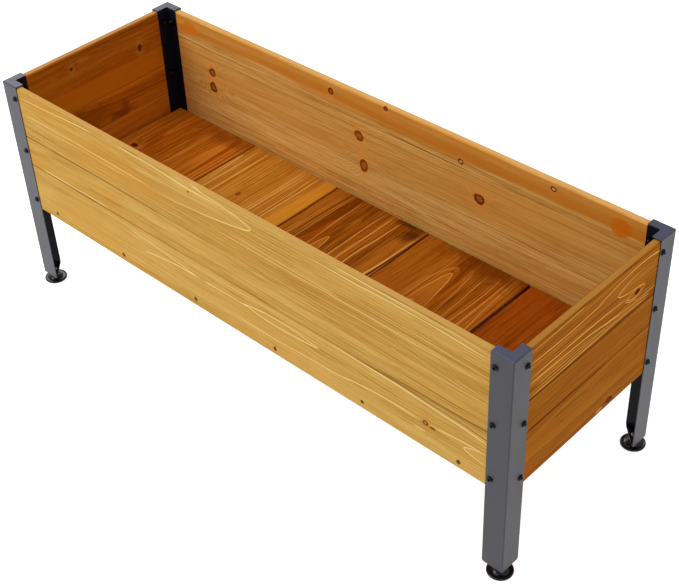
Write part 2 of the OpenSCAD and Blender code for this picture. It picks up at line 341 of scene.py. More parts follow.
    def grain(self):
        """The board's colour before its marks, its relief, where it fades and its fibres."""
        graph, colours, traits = self.graph, self.colours, self.traits
        turns = self.rings()
        phase = graph.math("FRACT", turns)
        luck = graph.random(graph.math("FLOOR", turns), self.seed)
        fade = self.noise(3.0, 30.0, 7)
        fine = self.noise(9.0, 520.0, 18, 2.0, 0.7)
        fibre = self.noise(26.0, 1100.0, 13, 2.0, 0.65)
        thick = traits["thick"]
        late = graph.product(
            graph.step(phase, 1 - thick, 1 - thick * 0.4), graph.step(phase, 1.0, 0.97)
        )
        stops = [(0.08, colours["dark"]), (0.5, colours["base"]), (0.92, colours["pale"])]
        colour = graph.ramp(self.tone(phase, luck, fine, fibre), stops)
        cloud = graph.step(self.noise(3.4, 11.0, 19, 2.0), 0.42, 0.75)
        colour = graph.blend(graph.product(cloud, traits["warmth"]), colour, colours["warm"])
        colour = self.scratched(colour, fade)
        colour = self.lined(colour, late, luck, fade)
        colour = self.ducts(colour)
        relief = graph.total(
            graph.product(fibre, 0.4), graph.product(fine, 0.4), graph.product(late, 0.3)
        )
        return colour, relief, fade, fibre

    def zone(self, colour, low, high, tint, strength, blur=6):
        """A stained strip along the whole board, between two shares of its height."""
        graph = self.graph
        ragged = graph.math("ADD", self.v, self.swing(self.noise(3.0, 60.0, 41, 2.0), 16 * MM))
        bottom, top = low * self.height, high * self.height
        mask = graph.product(
            graph.step(ragged, bottom - blur * MM / 2, bottom + blur * MM / 2),
            graph.step(ragged, top + blur * MM / 2, top - blur * MM / 2),
            graph.spread(self.noise(2.5, 90.0, 43, 3.0), 0.25, 0.75, 0.6 * strength, strength),
        )
        return graph.blend(mask, colour, self.shown(tint))

    def vein(self, colour, start, end, bend, strength, width=1.5):
        """A line along the grain from start to end, pale, or dark if strength is negative."""
        graph = self.graph
        first, last = self.at(*start), self.at(*end)
        share = graph.math("DIVIDE", graph.math("SUBTRACT", self.u, first.x), last.x - first.x)
        rest = graph.math("SUBTRACT", 1.0, share)
        sag = graph.product(share, rest, 4 * bend * MM)
        line = graph.total(sag, graph.math("MULTIPLY", share, last.y - first.y), first.y)
        away = graph.math("ABSOLUTE", graph.math("SUBTRACT", self.marked_v, line))
        mask = graph.product(
            graph.step(away, width * MM, width * MM * 0.15),
            graph.step(share, -0.02, 0.12), graph.step(rest, -0.02, 0.12),
            graph.spread(self.noise(9.0, 9.0, 47), 0.3, 0.7, 0.55 * abs(strength), abs(strength)),
        )
        return graph.blend(mask, colour, self.colours["line" if strength > 0 else "deep"])

    def flame(self, colour, a, b, long, wide, outline, fill):
        """A tongue of grain with a pale outline. It ends in a tip at a, b and opens along
        its signed length."""
        graph = self.graph
        scaled = graph.split(self.scaled(a, b, long, wide))
        level = graph.math("SUBTRACT", scaled[0], graph.product(scaled[1], scaled[1]))
        slope = graph.math("MULTIPLY", scaled[1], 2 / (wide * MM))
        slope = graph.math("ADD", graph.product(slope, slope), 1 / (long * MM) ** 2)
        inward = graph.math("DIVIDE", level, graph.math("SQRT", slope))
        inside = graph.product(graph.step(inward, 0.0, 1.5 * MM), graph.step(scaled[0], 2.6, 0.6))
        colour = graph.blend(graph.product(inside, fill), colour, self.colours["pale"])
        near = graph.product(
            graph.step(inward, -0.7 * MM, 0.1 * MM), graph.step(inward, 1.8 * MM, 0.4 * MM)
        )
        ends = graph.step(scaled[0], 2.4, 0.3)
        return graph.blend(graph.product(near, ends, outline), colour, self.colours["line"])

    def lens(self, colour, a, b, long, wide, outline, fill):
        """An almond of grain with a pale outline, pointed at both ends."""
        graph = self.graph
        scaled = graph.split(self.scaled(a, b, long, wide))
        edge = graph.math("SUBTRACT", 1.0, graph.product(scaled[0], scaled[0]))
        inward = graph.math("SUBTRACT", edge, graph.math("ABSOLUTE", scaled[1]))
        inward = graph.math("MULTIPLY", inward, wide * MM)
        inside = graph.product(graph.step(inward, 0.0, 1.5 * MM), fill)
        colour = graph.blend(inside, colour, self.colours["pale"])
        near = graph.product(
            graph.step(inward, -0.7 * MM, 0.1 * MM), graph.step(inward, 1.6 * MM, 0.4 * MM)
        )
        return graph.blend(graph.product(near, outline), colour, self.colours["line"])

    def knot(self, colour, a, b, long, wide, kind, number):
        """A knot: a ringed core, a dark rim, a halo up and down the board and a dark trail."""
        graph, tints = self.graph, KNOTS[kind]
        rim_colour, heart_colour = self.shown(tints["rim"]), self.shown(tints["heart"])
        wobble = graph.noise(self.flat, (90.0, 90.0, 0.0), self.seed + number, 2.0)
        reach = graph.math("ADD", self.reach(a, b, long, wide), self.swing(wobble, 0.55))
        glow = graph.bell(self.flat, self.at(a, b), (long * 1.5 * MM, wide * 2.3 * MM))
        glow = graph.product(glow, self.traits["halo"])
        colour = graph.blend(glow, colour, self.shown(HALO))
        trail = graph.bell(self.flat, self.at(a, b), (long * 4.5 * MM, wide * 0.45 * MM))
        colour = graph.blend(graph.product(trail, 0.5), colour, self.colours["dark"])
        waves = graph.math("SINE", graph.math("MULTIPLY", reach, 13.0))
        heart = graph.blend(graph.spread(waves, -1, 1, 0.0, 0.5), heart_colour, rim_colour)
        colour = graph.blend(graph.product(graph.step(reach, 1.0, 0.8), 0.9), colour, heart)
        rim = graph.product(graph.step(reach, 0.4, 0.75), graph.step(reach, 1.25, 1.0), 0.95)
        return graph.blend(rim, colour, rim_colour)

    def patch(self, colour, a, b, long, wide, tint, strength, soft=0.7):
        """A rounded stain of that colour, with an edge that fades over that share of it."""
        graph = self.graph
        ragged = self.swing(self.noise(50.0, 50.0, 31, 3.0), 0.3 + soft)
        reach = graph.math("ADD", self.reach(a, b, long, wide), ragged)
        inside = graph.product(graph.step(reach, 1 + soft, 1 - soft), strength)
        return graph.blend(inside, colour, self.shown(tint))

    def seam(self, colour, b, start, end, strength, width):
        """A dark line along the board's edge, from share start to share end. In a joint it is
        gathered stain; along a wall's bare bottom edge it is a painted shadow line.
        """
        graph = self.graph
        away = graph.math("ABSOLUTE", graph.math("SUBTRACT", self.v, b * self.height))
        share = graph.math("DIVIDE", self.u, self.length)
        mask = graph.product(
            graph.step(away, width * MM, width * MM * 0.5),
            graph.step(share, start - 0.03, start + 0.03),
            graph.step(share, end + 0.03, end - 0.03),
            graph.spread(self.noise(14.0, 9.0, 53), 0.3, 0.7, 0.6 * strength, strength),
        )
        return graph.blend(mask, colour, self.colours["deep"])

    def outer_face(self, colour, look, light, side):
        """Gives the face that looks away from the trough the tone of another look.

        side is 1 where that face is the board's high side, and -1 where it's the low one.
        """
        graph = self.graph
        tone = tuple(c / l for c, l in zip(linear(*LOOKS[look]["base"]), light))
        ratio = tuple(there / here for there, here in zip(tone, self.colours["base"]))
        face = self.depth if side > 0 else 0.0
        mask = graph.step(self.w, face - side * 0.4 * MM, face - side * 0.1 * MM)
        return graph.blend(mask, colour, ratio, "MULTIPLY")

    def marked(self, colour):
        """Draws every mark that the board's traits list, the knots last."""
        marks = {"zones": self.zone, "flames": self.flame, "lenses": self.lens,
                 "veins": self.vein, "patches": self.patch, "seams": self.seam}
        for kind, draw in marks.items():
            for mark in self.traits.get(kind, ()):
                colour = draw(colour, *mark)
        for number, knot in enumerate(self.traits.get("knots", ())):
            colour = self.knot(colour, *knot, number)
        return colour

    def soaked(self, colour, fade):
        """Stain gathered along the edges, and the joints' shadow. A wall's smooth top edge has
        neither.
        """
        graph, traits = self.graph, self.traits
        edge = self.v
        if "cap" not in traits:
            edge = graph.math("MINIMUM", edge, graph.math("SUBTRACT", self.height, self.v))
        gather = graph.product(
            graph.step(edge, traits["soak"] * MM, 0.0), graph.step(fade, 0.3, 0.6), traits["edges"]
        )
        colour = graph.blend(gather, colour, self.colours["dark"])
        joint = graph.product(graph.step(edge, 0.9 * MM, 0.2 * MM), traits["joint"])
        return graph.blend(joint, colour, self.shown(JOINT))

    def painted_sheen_top(self, colour, cap):
        """Gives the wall's top edge the colour cap, a painted sheen: lighter and bluer than the
        board, it stands for the light that the top catches.
        """
        graph = self.graph
        top = graph.step(self.v, self.height - 0.5 * MM, self.height - 0.1 * MM)
        paint = tuple(c / l for c, l in zip(linear(*cap), UPWARD))
        return graph.blend(graph.product(top, 0.8), colour, paint)

    def material(self):
        """The whole board's material."""
        graph, traits = self.graph, self.traits
        colour, relief, fade, fibre = self.grain()
        colour = self.soaked(self.marked(colour), fade)
        if "outer" in traits:
            colour = self.outer_face(colour, *traits["outer"])
        # Painted sheen: the top edge's colour is lighter and bluer than the board's.
        if "cap" in traits:
            colour = self.painted_sheen_top(colour, traits["cap"])
        return graph.finish(
            Base_Color=colour,
            Roughness=graph.spread(fibre, 0.2, 0.8, 0.5, 0.7),
            Specular_IOR_Level=0.01,
            Normal=graph.bump(relief, 0.0003, 0.7),
        )


RUNS_X = (0, 2)
RUNS_Y = (1, 2)
FLOOR = (1, 0)
# The share of the studio's light that reaches a board, for each of red, green and blue.
OUTSIDE = (1.26, 1.20, 1.20)
SIDE = (0.96, 1.02, 1.50)
UPWARD = (1.02, 0.98, 1.00)
INSIDE = (0.59, 0.48, 0.43)
CORNER = (0.385, 0.26, 0.22)
DEEP = (0.78, 0.73, 0.62)
DEEPER = (0.63, 0.60, 0.52)
# Rust and crushed wood round the heads of the six ledger nails, which are NAIL_STEP of the
# wall's length apart.
NAIL_STEP = 0.1688
NAIL_STAINS = [(0.5 + step * NAIL_STEP, 0.135, 3.8, 3.4, (92, 44, 12), 0.9, 0.25)
               for step in (-2.5, -1.5, -0.5, 0.5, 1.5, 2.5)]

# node: direction, look, light, traits. Besides those in PLAIN, the traits are a planed top's
# colour, lighter and bluer than the board as painted sheen (cap), the outer face's look, light and
# side (outer), and lists of marks. A mark holds what the Board's function for that kind takes
# after the colour.
BOARDS = {
    "front_wall_top_board": (RUNS_X, "honey", OUTSIDE, dict(
        cap=(206, 155, 84), heart=2.2, depth=70, spacing=6, bands=0.7,
        streaks=0.3, scratches=0.2,
        flames=[(0.556, 0.76, -115, 22, 0.9, 0.35)],
        veins=[((0.03, 0.85), (0.22, 0.94), 0, 0.8), ((0.27, 0.97), (0.5, 0.91), -2, 0.9),
               ((0.03, 0.51), (0.34, 0.47), 1, 0.6), ((0.03, 0.42), (0.3, 0.41), 0, 0.4),
               ((0.45, 0.35), (0.97, 0.34), 2, 0.6), ((0.66, 0.86), (0.97, 0.82), 3, 0.8),
               ((0.7, 0.97), (0.97, 0.92), 1, 0.7), ((0.5, 0.43), (0.72, 0.4), 2, 0.5),
               ((0.69, 0.44), (0.95, 0.48), 0, -0.5), ((0.5, 0.78), (0.3, 0.7), 0, 0.3)],
        seams=[(0, -0.1, 0.25, 1.0, 3.6), (0, 0.25, 0.36, 0.8, 2.4), (0, 0.36, 1.1, 0.3, 1.6)],
        knots=[(0.43, 0.85, 1.8, 1.1, "ringed")])),
    "front_wall_middle_board": (RUNS_X, "honey", OUTSIDE, dict(
        heart=2.6, depth=90, spacing=3, lines=0.35, warmth=0.8, bands=0.7,
        streaks=0.3, scratches=0.2,
        seams=[(1, -0.1, 0.25, 1.0, 1.8), (0, -0.1, 0.27, 1.0, 3.0), (0, 0.25, 0.8, 0.5, 3.4)],
        veins=[((0.06, 0.07), (0.23, 0.05), 0, 0.8), ((0.18, 0.36), (0.27, 0.37), 0, -0.7),
               ((0.78, 0.06), (1.0, 0.15), -2, -0.7, 3.0), ((0.4, 0.3), (0.98, 0.34), 0, -0.4)])),
    "front_wall_bottom_board": (RUNS_X, "honey", OUTSIDE, dict(
        heart=-1.2, depth=70, spacing=6, lines=0.3, bands=0.7, streaks=0.2, fine=0.85,
        scratches=0.15,
        flames=[(0.93, 0.46, 26, 9, 0.9, 0.3)],
        lenses=[(0.6, 0.685, 82, 7.5, 0.9, 0.3)],
        veins=[((0.27, 0.84), (0.435, 0.645), 0, 0.95, 1.3), ((0.3, 0.52), (0.43, 0.655), 4, 0.9),
               ((0.44, 0.66), (0.54, 0.67), 0, 0.9), ((0.5, 0.34), (0.74, 0.42), -3, 0.7),
               ((0.71, 0.39), (0.86, 0.49), 5, 0.9), ((0.69, 0.93), (0.98, 0.79), 4, 0.9),
               ((0.88, 0.5), (0.96, 0.56), 3, 0.8), ((0.03, 0.98), (0.22, 0.98), 0, -0.8, 1.6),
               ((0.74, 0.96), (1.0, 0.85), 3, -0.6, 2.5)],
        patches=[(0.857, 0.33, 11, 2.0, (236, 194, 118), 0.8, 0.2), *NAIL_STAINS],
        seams=[(1, -0.1, 0.26, 1.0, 2.6), (1, 0.25, 0.8, 0.4, 2.8)],
        knots=[(0.866, 0.51, 4.2, 3.6, "pale"), (0.878, 0.48, 5.0, 1.6, "ringed")])),
    "right_wall_top_board": (RUNS_Y, "amber", SIDE, dict(
        cap=(182, 124, 56), heart=2.4, depth=60, spacing=5, lines=0.6, thick=0.14, rare=1.2,
        edges=0.8, bands=0.8, streaks=0.7, fine=1.2,
        flames=[(0.65, 0.615, 32, 11, 1.0, 0.45)], lenses=[(0.785, 0.385, 24, 8, 0.8, 0.2)],
        veins=[((0.06, 0.71), (0.55, 0.75), -3, 1.0), ((0.5, 0.74), (1.0, 0.8), 11, 1.0),
               ((0.06, 0.42), (0.75, 0.42), 3, 0.9), ((0.06, 0.31), (0.7, 0.2), 6, 1.0),
               ((0.06, 0.06), (0.9, 0.09), 2, 0.9), ((0.06, 0.93), (0.42, 0.95), 0, 0.8),
               ((0.55, 0.24), (0.9, 0.14), 0, 0.8), ((0.1, 0.2), (0.6, 0.18), 2, 0.6),
               ((0.1, 0.14), (0.85, 0.12), 2, 0.5), ((0.45, 0.3), (0.96, 0.2), -2, 0.5),
               ((0.705, 0.37), (0.8, 0.25), -2, 0.9), ((0.705, 0.37), (0.85, 0.44), 0, 0.7)],
        seams=[(0, -0.1, 1.1, 1.0, 6.0)],
        knots=[(0.795, 0.385, 6.0, 4.2, "hole")])),
    "right_wall_middle_board": (RUNS_Y, "amber", SIDE, dict(
        heart=2.5, depth=120, spacing=4, lines=0.1, bands=0.35, fine=0.5, streaks=0.2, warmth=0.9,
        edges=0.8,
        seams=[(1, -0.1, 1.1, 1.0, 5.0), (0, 0.08, 0.62, 1.0, 5.0), (0, 0.62, 1.1, 0.9, 4.0)])),
    "right_wall_bottom_board": (RUNS_Y, "amber", SIDE, dict(
        heart=0.6, depth=100, spacing=6, lines=0.1, bands=0.5, fine=0.5, streaks=0.2, soak=3,
        patches=[(0.06, 0.15, 26, 16, (164, 84, 12), 0.7),
                 (0.655, 0.1, 15, 8, (122, 68, 34), 0.9, 0.3),
                 (0.6, 0.09, 9, 5, (192, 136, 76), 0.8, 0.4)],
        # The last seam, along the wall's bare bottom edge, is a painted shadow line.
        seams=[(1, 0.08, 0.62, 1.0, 4.6), (1, 0.62, 1.1, 0.9, 3.6), (0, -0.1, 1.1, 1.0, 2.4)],
        veins=[((0.25, 0.78), (0.5, 0.74), 0, -0.6, 2.0)],
        knots=[(0.672, 0.125, 7.0, 5.5, "ringed")])),
    "back_wall_top_board": (RUNS_X, "straw", INSIDE, dict(
        outer=("honey", OUTSIDE, 1),
        cap=(220, 166, 100), heart=1.8, depth=60, spacing=3, lines=0.2, bands=1.0, fine=1.1,
        zones=[(0.31, 0.93, (172, 102, 32), 0.9), (0.36, 0.66, (162, 84, 18), 0.7, 9)],
        veins=[((0.0, 0.05), (0.24, 0.06), 0, -1.0), ((0.0, 0.14), (0.25, 0.13), 0, 0.6),
               ((0.5, 0.06), (0.68, 0.03), 0, -1.0), ((0.48, 0.0), (0.66, 0.0), 0, -0.9),
               ((0.24, 0.04), (0.5, 0.03), 0, -0.5), ((0.66, 0.3), (0.97, 0.29), 0, 0.6)],
        patches=[(0.9286, 0.49, 18, 16.5, (174, 82, 8), 0.85, 0.12),
                 (0.0663, 0.6, 17, 12, (182, 88, 10), 0.85, 0.15)],
        knots=[(0.3937, 0.668, 6, 6, "ringed"), (0.508, 0.93, 5, 4, "ringed"),
               (0.653, 0.24, 5.5, 4.5, "pale"), (0.817, 0.79, 5, 4.5, "pale")])),
    "back_wall_middle_board": (RUNS_X, "straw", INSIDE, dict(
        outer=("honey", OUTSIDE, 1),
        spacing=3, lines=0.3, scratches=0.7, halo=0.6,
        zones=[(0.42, 0.93, (176, 118, 52), 0.5, 20)],
        veins=[((0.0, 0.85), (1.0, 0.86), 0, -0.5, 2.0), ((0.48, 0.3), (1.0, 0.36), 0, -0.6),
               ((0.02, 0.03), (0.42, -0.06), 3, 0.8), ((0.5, 0.07), (0.66, -0.05), 4, 0.7)],
        knots=[(0.1127, 0.647, 8, 10, "ringed"), (0.1122, 0.4, 8.5, 9, "ringed"),
               (0.451, 0.743, 9, 9.5, "red"), (0.4595, 0.316, 8, 12, "red"),
               (0.689, 0.651, 10, 8, "ringed")])),
    "back_wall_bottom_board": (RUNS_X, "straw", INSIDE, dict(
        outer=("honey", OUTSIDE, 1),
        heart=2.2, depth=100, spacing=3, lines=0.3, scratches=0.8)),
    "left_wall_top_board": (RUNS_Y, "rust", CORNER, dict(
        outer=("amber", SIDE, -1),
        cap=(194, 146, 96), depth=80, spacing=5, lines=0.1, fine=0.35, bands=0.9,
        streaks=0.25, halo=0.3,
        zones=[(0.0, 0.35, (136, 66, 4), 0.6, 14)],
        patches=[(0.42, 0.82, 20, 4, (146, 74, 20), 0.5)],
        knots=[(0.338, 0.745, 4.0, 3.5, "hole"), (0.7856, 0.56, 5, 6.0, "hole")])),
    "left_wall_middle_board": (RUNS_Y, "rust", CORNER, dict(
        outer=("amber", SIDE, -1),
        heart=1.5, depth=80, spacing=4, lines=0.1, fine=0.35, bands=0.9, streaks=0.25,
        zones=[(0.86, 1.1, (150, 74, 8), 0.7, 5)],
        patches=[(0.36, 0.4, 62, 26, (98, 40, 2), 0.7), (0.61, 0.12, 24, 9, (78, 26, 2), 0.8),
                 (0.63, 0.35, 10, 9, (84, 30, 2), 0.6)])),
    "left_wall_bottom_board": (RUNS_Y, "rust", CORNER, dict(
        outer=("amber", SIDE, -1),
        depth=80, spacing=4, lines=0.1, fine=0.35, bands=0.7, streaks=0.25)),
    "floor_board_1": (FLOOR, "umber", DEEPER, dict(
        heart=0.25, spacing=5, lines=0.4, thick=0.14, bands=0.7, rare=1.2,
        flames=[(0.975, 0.79, -70, 9, 0.4, 0.9)],
        veins=[((0.3, 0.905), (1.0, 0.89), 0, 0.6), ((0.3, 0.945), (1.0, 0.93), 0, 0.8),
               ((0.3, 0.98), (1.0, 0.975), 0, 0.7), ((0.4, 0.87), (0.98, 0.85), 0, -0.8, 3.0)],
        patches=[(0.95, 0.75, 18, 60, (104, 46, 6), 0.6)],
        knots=[(0.576, 0.171, 5.0, 7.0, "hole")])),
    "floor_board_2": (FLOOR, "gold", DEEP, dict(
        heart=0.1, depth=60, spacing=4, lines=0.3, thick=0.14, rare=1.0,
        zones=[(0.87, 0.98, (196, 124, 30), 0.9, 3)],
        flames=[(0.89, 0.03, -60, 4.5, 0.9, 0.8)],
        veins=[((0.3, 0.1), (1.0, 0.1), 0, 0.7, 2.4), ((0.3, 0.185), (1.0, 0.2), 0, 0.7, 2.4),
               ((0.3, 0.63), (1.0, 0.63), 0, 0.8), ((0.3, 0.66), (1.0, 0.66), 0, 0.8),
               ((0.3, 0.695), (1.0, 0.7), 0, 0.8), ((0.3, 0.77), (1.0, 0.76), 0, 0.9),
               ((0.3, 0.8), (1.0, 0.8), 0, 0.8)],
        knots=[(0.62, 0.425, 5.0, 3.5, "red")])),
    "floor_board_3": (FLOOR, "umber", DEEP, dict(
        heart=0.4, taper=-0.03, spacing=4.5, lines=0.7, thick=0.14, bands=0.9, rare=1.0,
        flames=[(0.664, 0.409, -50, 10, 0.8, 0.7)],
        veins=[((0.3, 0.57), (1.0, 0.56), 0, 0.9), ((0.3, 0.65), (1.0, 0.645), 0, 0.9, 1.6),
               ((0.3, 0.74), (1.0, 0.745), -4, 1.0, 2.0), ((0.3, 0.9), (0.98, 0.985), 3, 1.0, 3.4),
               ((0.3, 0.985), (0.9, 0.99), 0, 0.9), ((0.3, 0.1), (1.0, 0.12), 0, 0.6),
               ((0.3, 0.2), (1.0, 0.2), 0, 0.6), ((0.3, 0.33), (1.0, 0.3), 2, 0.7),
               ((0.3, 0.95), (0.95, 1.0), 0, -1.0, 3.0)],
        patches=[(0.93, 0.9, 19, 13, (58, 20, 2), 0.8), (0.99, 0.8, 8, 24, (60, 22, 2), 0.7)])),
    "floor_board_4": (FLOOR, "umber", DEEP, dict(
        heart=0.455, depth=68, taper=-0.046, spacing=5, lines=0.4, thick=0.14, bands=0.8, rare=1.0,
        zones=[(0.0, 0.33, (152, 82, 12), 0.5, 20)],
        flames=[(0.83, 0.461, -60, 15, 1.0, 0.8)],
        veins=[((0.3, 0.8), (0.96, 0.81), 0, 0.9), ((0.3, 0.865), (1.0, 0.865), 0, 0.9),
               ((0.3, 0.985), (0.98, 0.9), -2, 0.9), ((0.3, 0.66), (0.9, 0.6), 3, 0.6),
               ((0.3, 0.73), (0.9, 0.7), 2, 0.6), ((0.3, 0.34), (1.0, 0.38), -3, 0.6)],
        patches=[(1.0, 0.7, 32, 90, (98, 40, 2), 0.7)])),
    "floor_board_5": (FLOOR, "rust", DEEPER, dict(
        depth=120, spacing=7, lines=0.1, bands=0.4, fine=0.6)),
    "floor_ledger_front": (RUNS_X, "umber", SIDE, dict(heart=2.5, depth=100)),
    "floor_ledger_back": (RUNS_X, "umber", SIDE, dict(heart=1.5, depth=100)),
}


FIRST_SEED = 10.0
SEED_STEP = 7.3


def finish_boards():
    for number, (node, (run, look, light, traits)) in enumerate(BOARDS.items()):
        if run is FLOOR:
            traits = dict(traits, outer=("umber", OUTSIDE, -1))
        board = Board(node, *run, look, light, FIRST_SEED + SEED_STEP * number, traits)
        cover(NODES[node], board.material())


# ------------------------------------------------------------ steel and plastic


def painted_steel(name, tone, roughness, seed, shine=0.5, inner=None, cap=None, cap_shine=1.0):
    """Satin powder coat: a fine orange-peel skin, an uneven shade and soft edges.

    inner is the tone of a post's inner faces: painted shade, near black and with little shine,
    standing in for the dark that those faces see. cap is the tone of its folded top, lighter and
    bluer as painted sheen, which shines by cap_shine times as much.
    """
    graph = Graph(name)
    coords = graph.add("ShaderNodeTexCoord").outputs["Object"]
    peel = graph.noise(coords, (900.0,) * 3, seed, 2.0)
    patchy = graph.noise(coords, (9.0, 9.0, 4.0), seed + 5, 3.0)
    speckle = graph.noise(coords, (420.0,) * 3, seed + 9, 2.0)
    shade = graph.total(patchy, graph.spread(speckle, 0, 1, -0.2, 0.2))
    darker, lighter = [tuple(share * c for c in tone) for share in (0.84, 1.16)]
    colour = graph.ramp(shade, [(0.25, darker), (0.75, lighter)])
    gloss = graph.spread(patchy, 0.3, 0.7, roughness - 0.05, roughness + 0.05)
    if inner:
        inner_shade_mask, top = faces_of_post(graph, coords)
        # Painted shade on the inner faces, and painted sheen on the folded top.
        colour = graph.blend(inner_shade_mask, colour, inner)
        colour = graph.blend(top, colour, cap)
        # The inner faces' painted shade also takes most of their shine away.
        dull = 0.06
        shine = graph.product(
            graph.spread(inner_shade_mask, 0, 1, shine, dull), graph.spread(top, 0, 1, 1.0, cap_shine)
        )
    rounded = graph.add("ShaderNodeBevel", {"Radius": 0.7 * MM}, samples=6).outputs[0]
    return graph.finish(
        Base_Color=colour, Roughness=gloss, Specular_IOR_Level=shine,
        Normal=graph.bump(peel, 0.00008, 0.5, rounded),
    )


def faces_of_post(graph, coords):
    """Masks of the posts' inner faces and of their folded tops."""
    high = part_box("post_back_right")[1]
    x, y, z = graph.split(coords)[:3]
    inner_shade_mask = 1.0
    for reach, limit in ((graph.math("ABSOLUTE", x), high.x), (graph.math("ABSOLUTE", y), high.y),
                         (z, high.z)):
        inward = graph.step(reach, limit - 0.9 * MM, limit - 1.3 * MM)
        inner_shade_mask = graph.math("MULTIPLY", inner_shade_mask, inward)
    return inner_shade_mask, graph.step(z, high.z - 0.9 * MM, high.z - 0.3 * MM)


def dark_fastener(name, dull, rubbed):
    """A dark skin on steel, rubbed brighter in places."""
    graph = Graph(name)
    coords = graph.add("ShaderNodeTexCoord").outputs["Object"]
    grainy = graph.noise(coords, (1400.0,) * 3, 3.0, 3.0)
    colour = graph.ramp(grainy, [(0.35, dull), (0.75, rubbed)])
    gloss = graph.spread(grainy, 0.3, 0.7, 0.06, 0.13)
    return graph.finish(
        Base_Color=colour, Roughness=gloss, Specular_IOR_Level=0.2,
        Normal=graph.bump(grainy, 0.00003, 0.5),
    )


def zinc_steel():
    """Bright zinc plate with a faint spangle."""
    graph = Graph("zinc_steel")
    coords = graph.add("ShaderNodeTexCoord").outputs["Object"]
    spangle = graph.noise(coords, (500.0,) * 3, 5.0, 3.0)
    colour = graph.ramp(spangle, [(0.3, linear(170, 174, 180)), (0.7, linear(214, 216, 220))])
    gloss = graph.spread(spangle, 0.3, 0.7, 0.22, 0.4)
    return graph.finish(
        Base_Color=colour, Metallic=1.0, Roughness=gloss,
        Normal=graph.bump(spangle, 0.00003, 0.5),
    )


def black_plastic():
    """Moulded black plastic with a fine spark texture."""
    graph = Graph("black_plastic")
    coords = graph.add("ShaderNodeTexCoord").outputs["Object"]
    spark = graph.noise(coords, (1800.0,) * 3, 9.0, 3.0)
    rubbed = graph.noise(coords, (90.0,) * 3, 2.0, 3.0)
    colour = graph.ramp(rubbed, [(0.3, linear(9, 9, 13)), (0.75, linear(21, 21, 27))])
    gloss = graph.spread(rubbed, 0.3, 0.7, 0.14, 0.28)
    return graph.finish(
        Base_Color=colour, Roughness=gloss, Specular_IOR_Level=0.45,
        Normal=graph.bump(spark, 0.00004, 0.4),
    )


def cover(obj, material):
    """Gives a piece one material in all its slots."""
    obj.data.materials.clear()
    obj.data.materials.append(material)


# ------------------------------------------------------------- turned pieces


def circle(radius):
    return lambda angle: radius


def hexagon(across_flats):
    """Radius of a hexagon at each angle."""
    sixth = math.pi / 3
    return lambda angle: across_flats / 2 / math.cos((angle + sixth / 2) % sixth - sixth / 2)


def smaller(first, second):
    return lambda angle: min(first(angle), second(angle))


def arc(centre, reach, start, end, steps):
    """Points (z, radius) along an oval, with that reach to each side of its centre.

    Angles are in degrees: 0 points away from the axis and 90 points up.
    """
    points = []
    for i in range(steps + 1):
        angle = math.radians(start + (end - start) * i / steps)
        z = centre[0] + reach[0] * math.sin(angle)
        radius = centre[1] + reach[1] * math.cos(angle)
        points.append((z, radius))
    return points


def rounds(points, up=1):
    """Rows of circles from (z, radius) points in millimetres. up is -1 to turn them over."""
    return [(up * z * MM, circle(radius * MM)) for z, radius in points]


# The crest radius and the pitch of each screw thread.
M8 = (4.0 * MM, 1.25 * MM)
M6 = (3.0 * MM, 1.0 * MM)


def thread_rows(start, end, crest, pitch, steps=8):
    """Rows of a right-hand screw thread of that crest radius, along Z from start to end."""
    root = crest - 0.61 * pitch
    rows = []
    count = max(2, round((end - start) / pitch * steps))
    for i in range(count + 1):
        z = start + (end - start) * i / count

        def radius(angle, z=z):
            wave = abs(((z / pitch - angle / math.tau) % 1.0) * 2 - 1)
            return root + (crest - root) * min(1.0, max(0.0, wave * 1.35 - 0.15))

        rows.append((z, radius))
    return rows


def turned(mesh, rows, segments, placement):
    """Adds a closed skin round Z through rows of (z, radius at each angle) to the bmesh."""
    rings = []
    for z, radius in rows:
        ring = []
        for i in range(segments):
            angle = math.tau * i / segments
            reach = radius(angle)
            point = Vector((reach * math.cos(angle), reach * math.sin(angle), z))
            ring.append(mesh.verts.new(placement @ point))
        rings.append(ring)
    for lower, upper in zip(rings, rings[1:]):
        for i in range(segments):
            j = (i + 1) % segments
            mesh.faces.new((lower[i], lower[j], upper[j], upper[i]))
    for ring, z, flip in ((rings[0], rows[0][0], True), (rings[-1], rows[-1][0], False)):
        centre = mesh.verts.new(placement @ Vector((0, 0, z)))
        for i in range(segments):
            j = (i + 1) % segments
            pair = (ring[j], ring[i]) if flip else (ring[i], ring[j])
            mesh.faces.new((centre, *pair))


def piece_from(mesh, name, body, nodes, material, smooth_angle=30):
    """Turns the bmesh into a piece that rides on a body and stands for CAD nodes."""
    bmesh.ops.recalc_face_normals(mesh, faces=mesh.faces)
    data = bpy.data.meshes.new(name)
    mesh.to_mesh(data)
    mesh.free()
    data.polygons.foreach_set("use_smooth", [True] * len(data.polygons))
    data.set_sharp_from_angle(angle=math.radians(smooth_angle))
    piece = bpy.data.objects.new(name, data)
    bpy.context.scene.collection.objects.link(piece)
    data.materials.append(material)
    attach(piece, body)
    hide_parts(*nodes)
    return piece


def foot_centre(corner):
    low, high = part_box(f"foot_pad_{corner}")
    return (low + high) / 2


def make_pad(corner, material):
    """Moulded foot pad: a dished disc with a rounded lip and a neck round the stem."""
    centre = foot_centre(corner)
    lip = arc((2.0, 18.99), (2.0, 2.0), -90, 135, 10)
    dish = arc((7.0, 17.2), (3.75, 7.0), -90, -160, 7)
    neck = arc((5.9, 8.9), (1.1, 1.1), 0, 90, 3)
    socket = [(7.0, 5.0), (6.8, 4.4), (6.4, 4.06), (4.3, 4.06), (4.3, 5.54), (1.7, 5.54)]
    rows = rounds(lip + dish + neck + socket)
    mesh = bmesh.new()
    turned(mesh, rows, 96, Matrix.Translation((centre.x, centre.y, 0)))
    piece_from(mesh, f"pad_{corner}", f"pad_{corner}", [f"foot_pad_{corner}"],
               material, 50)


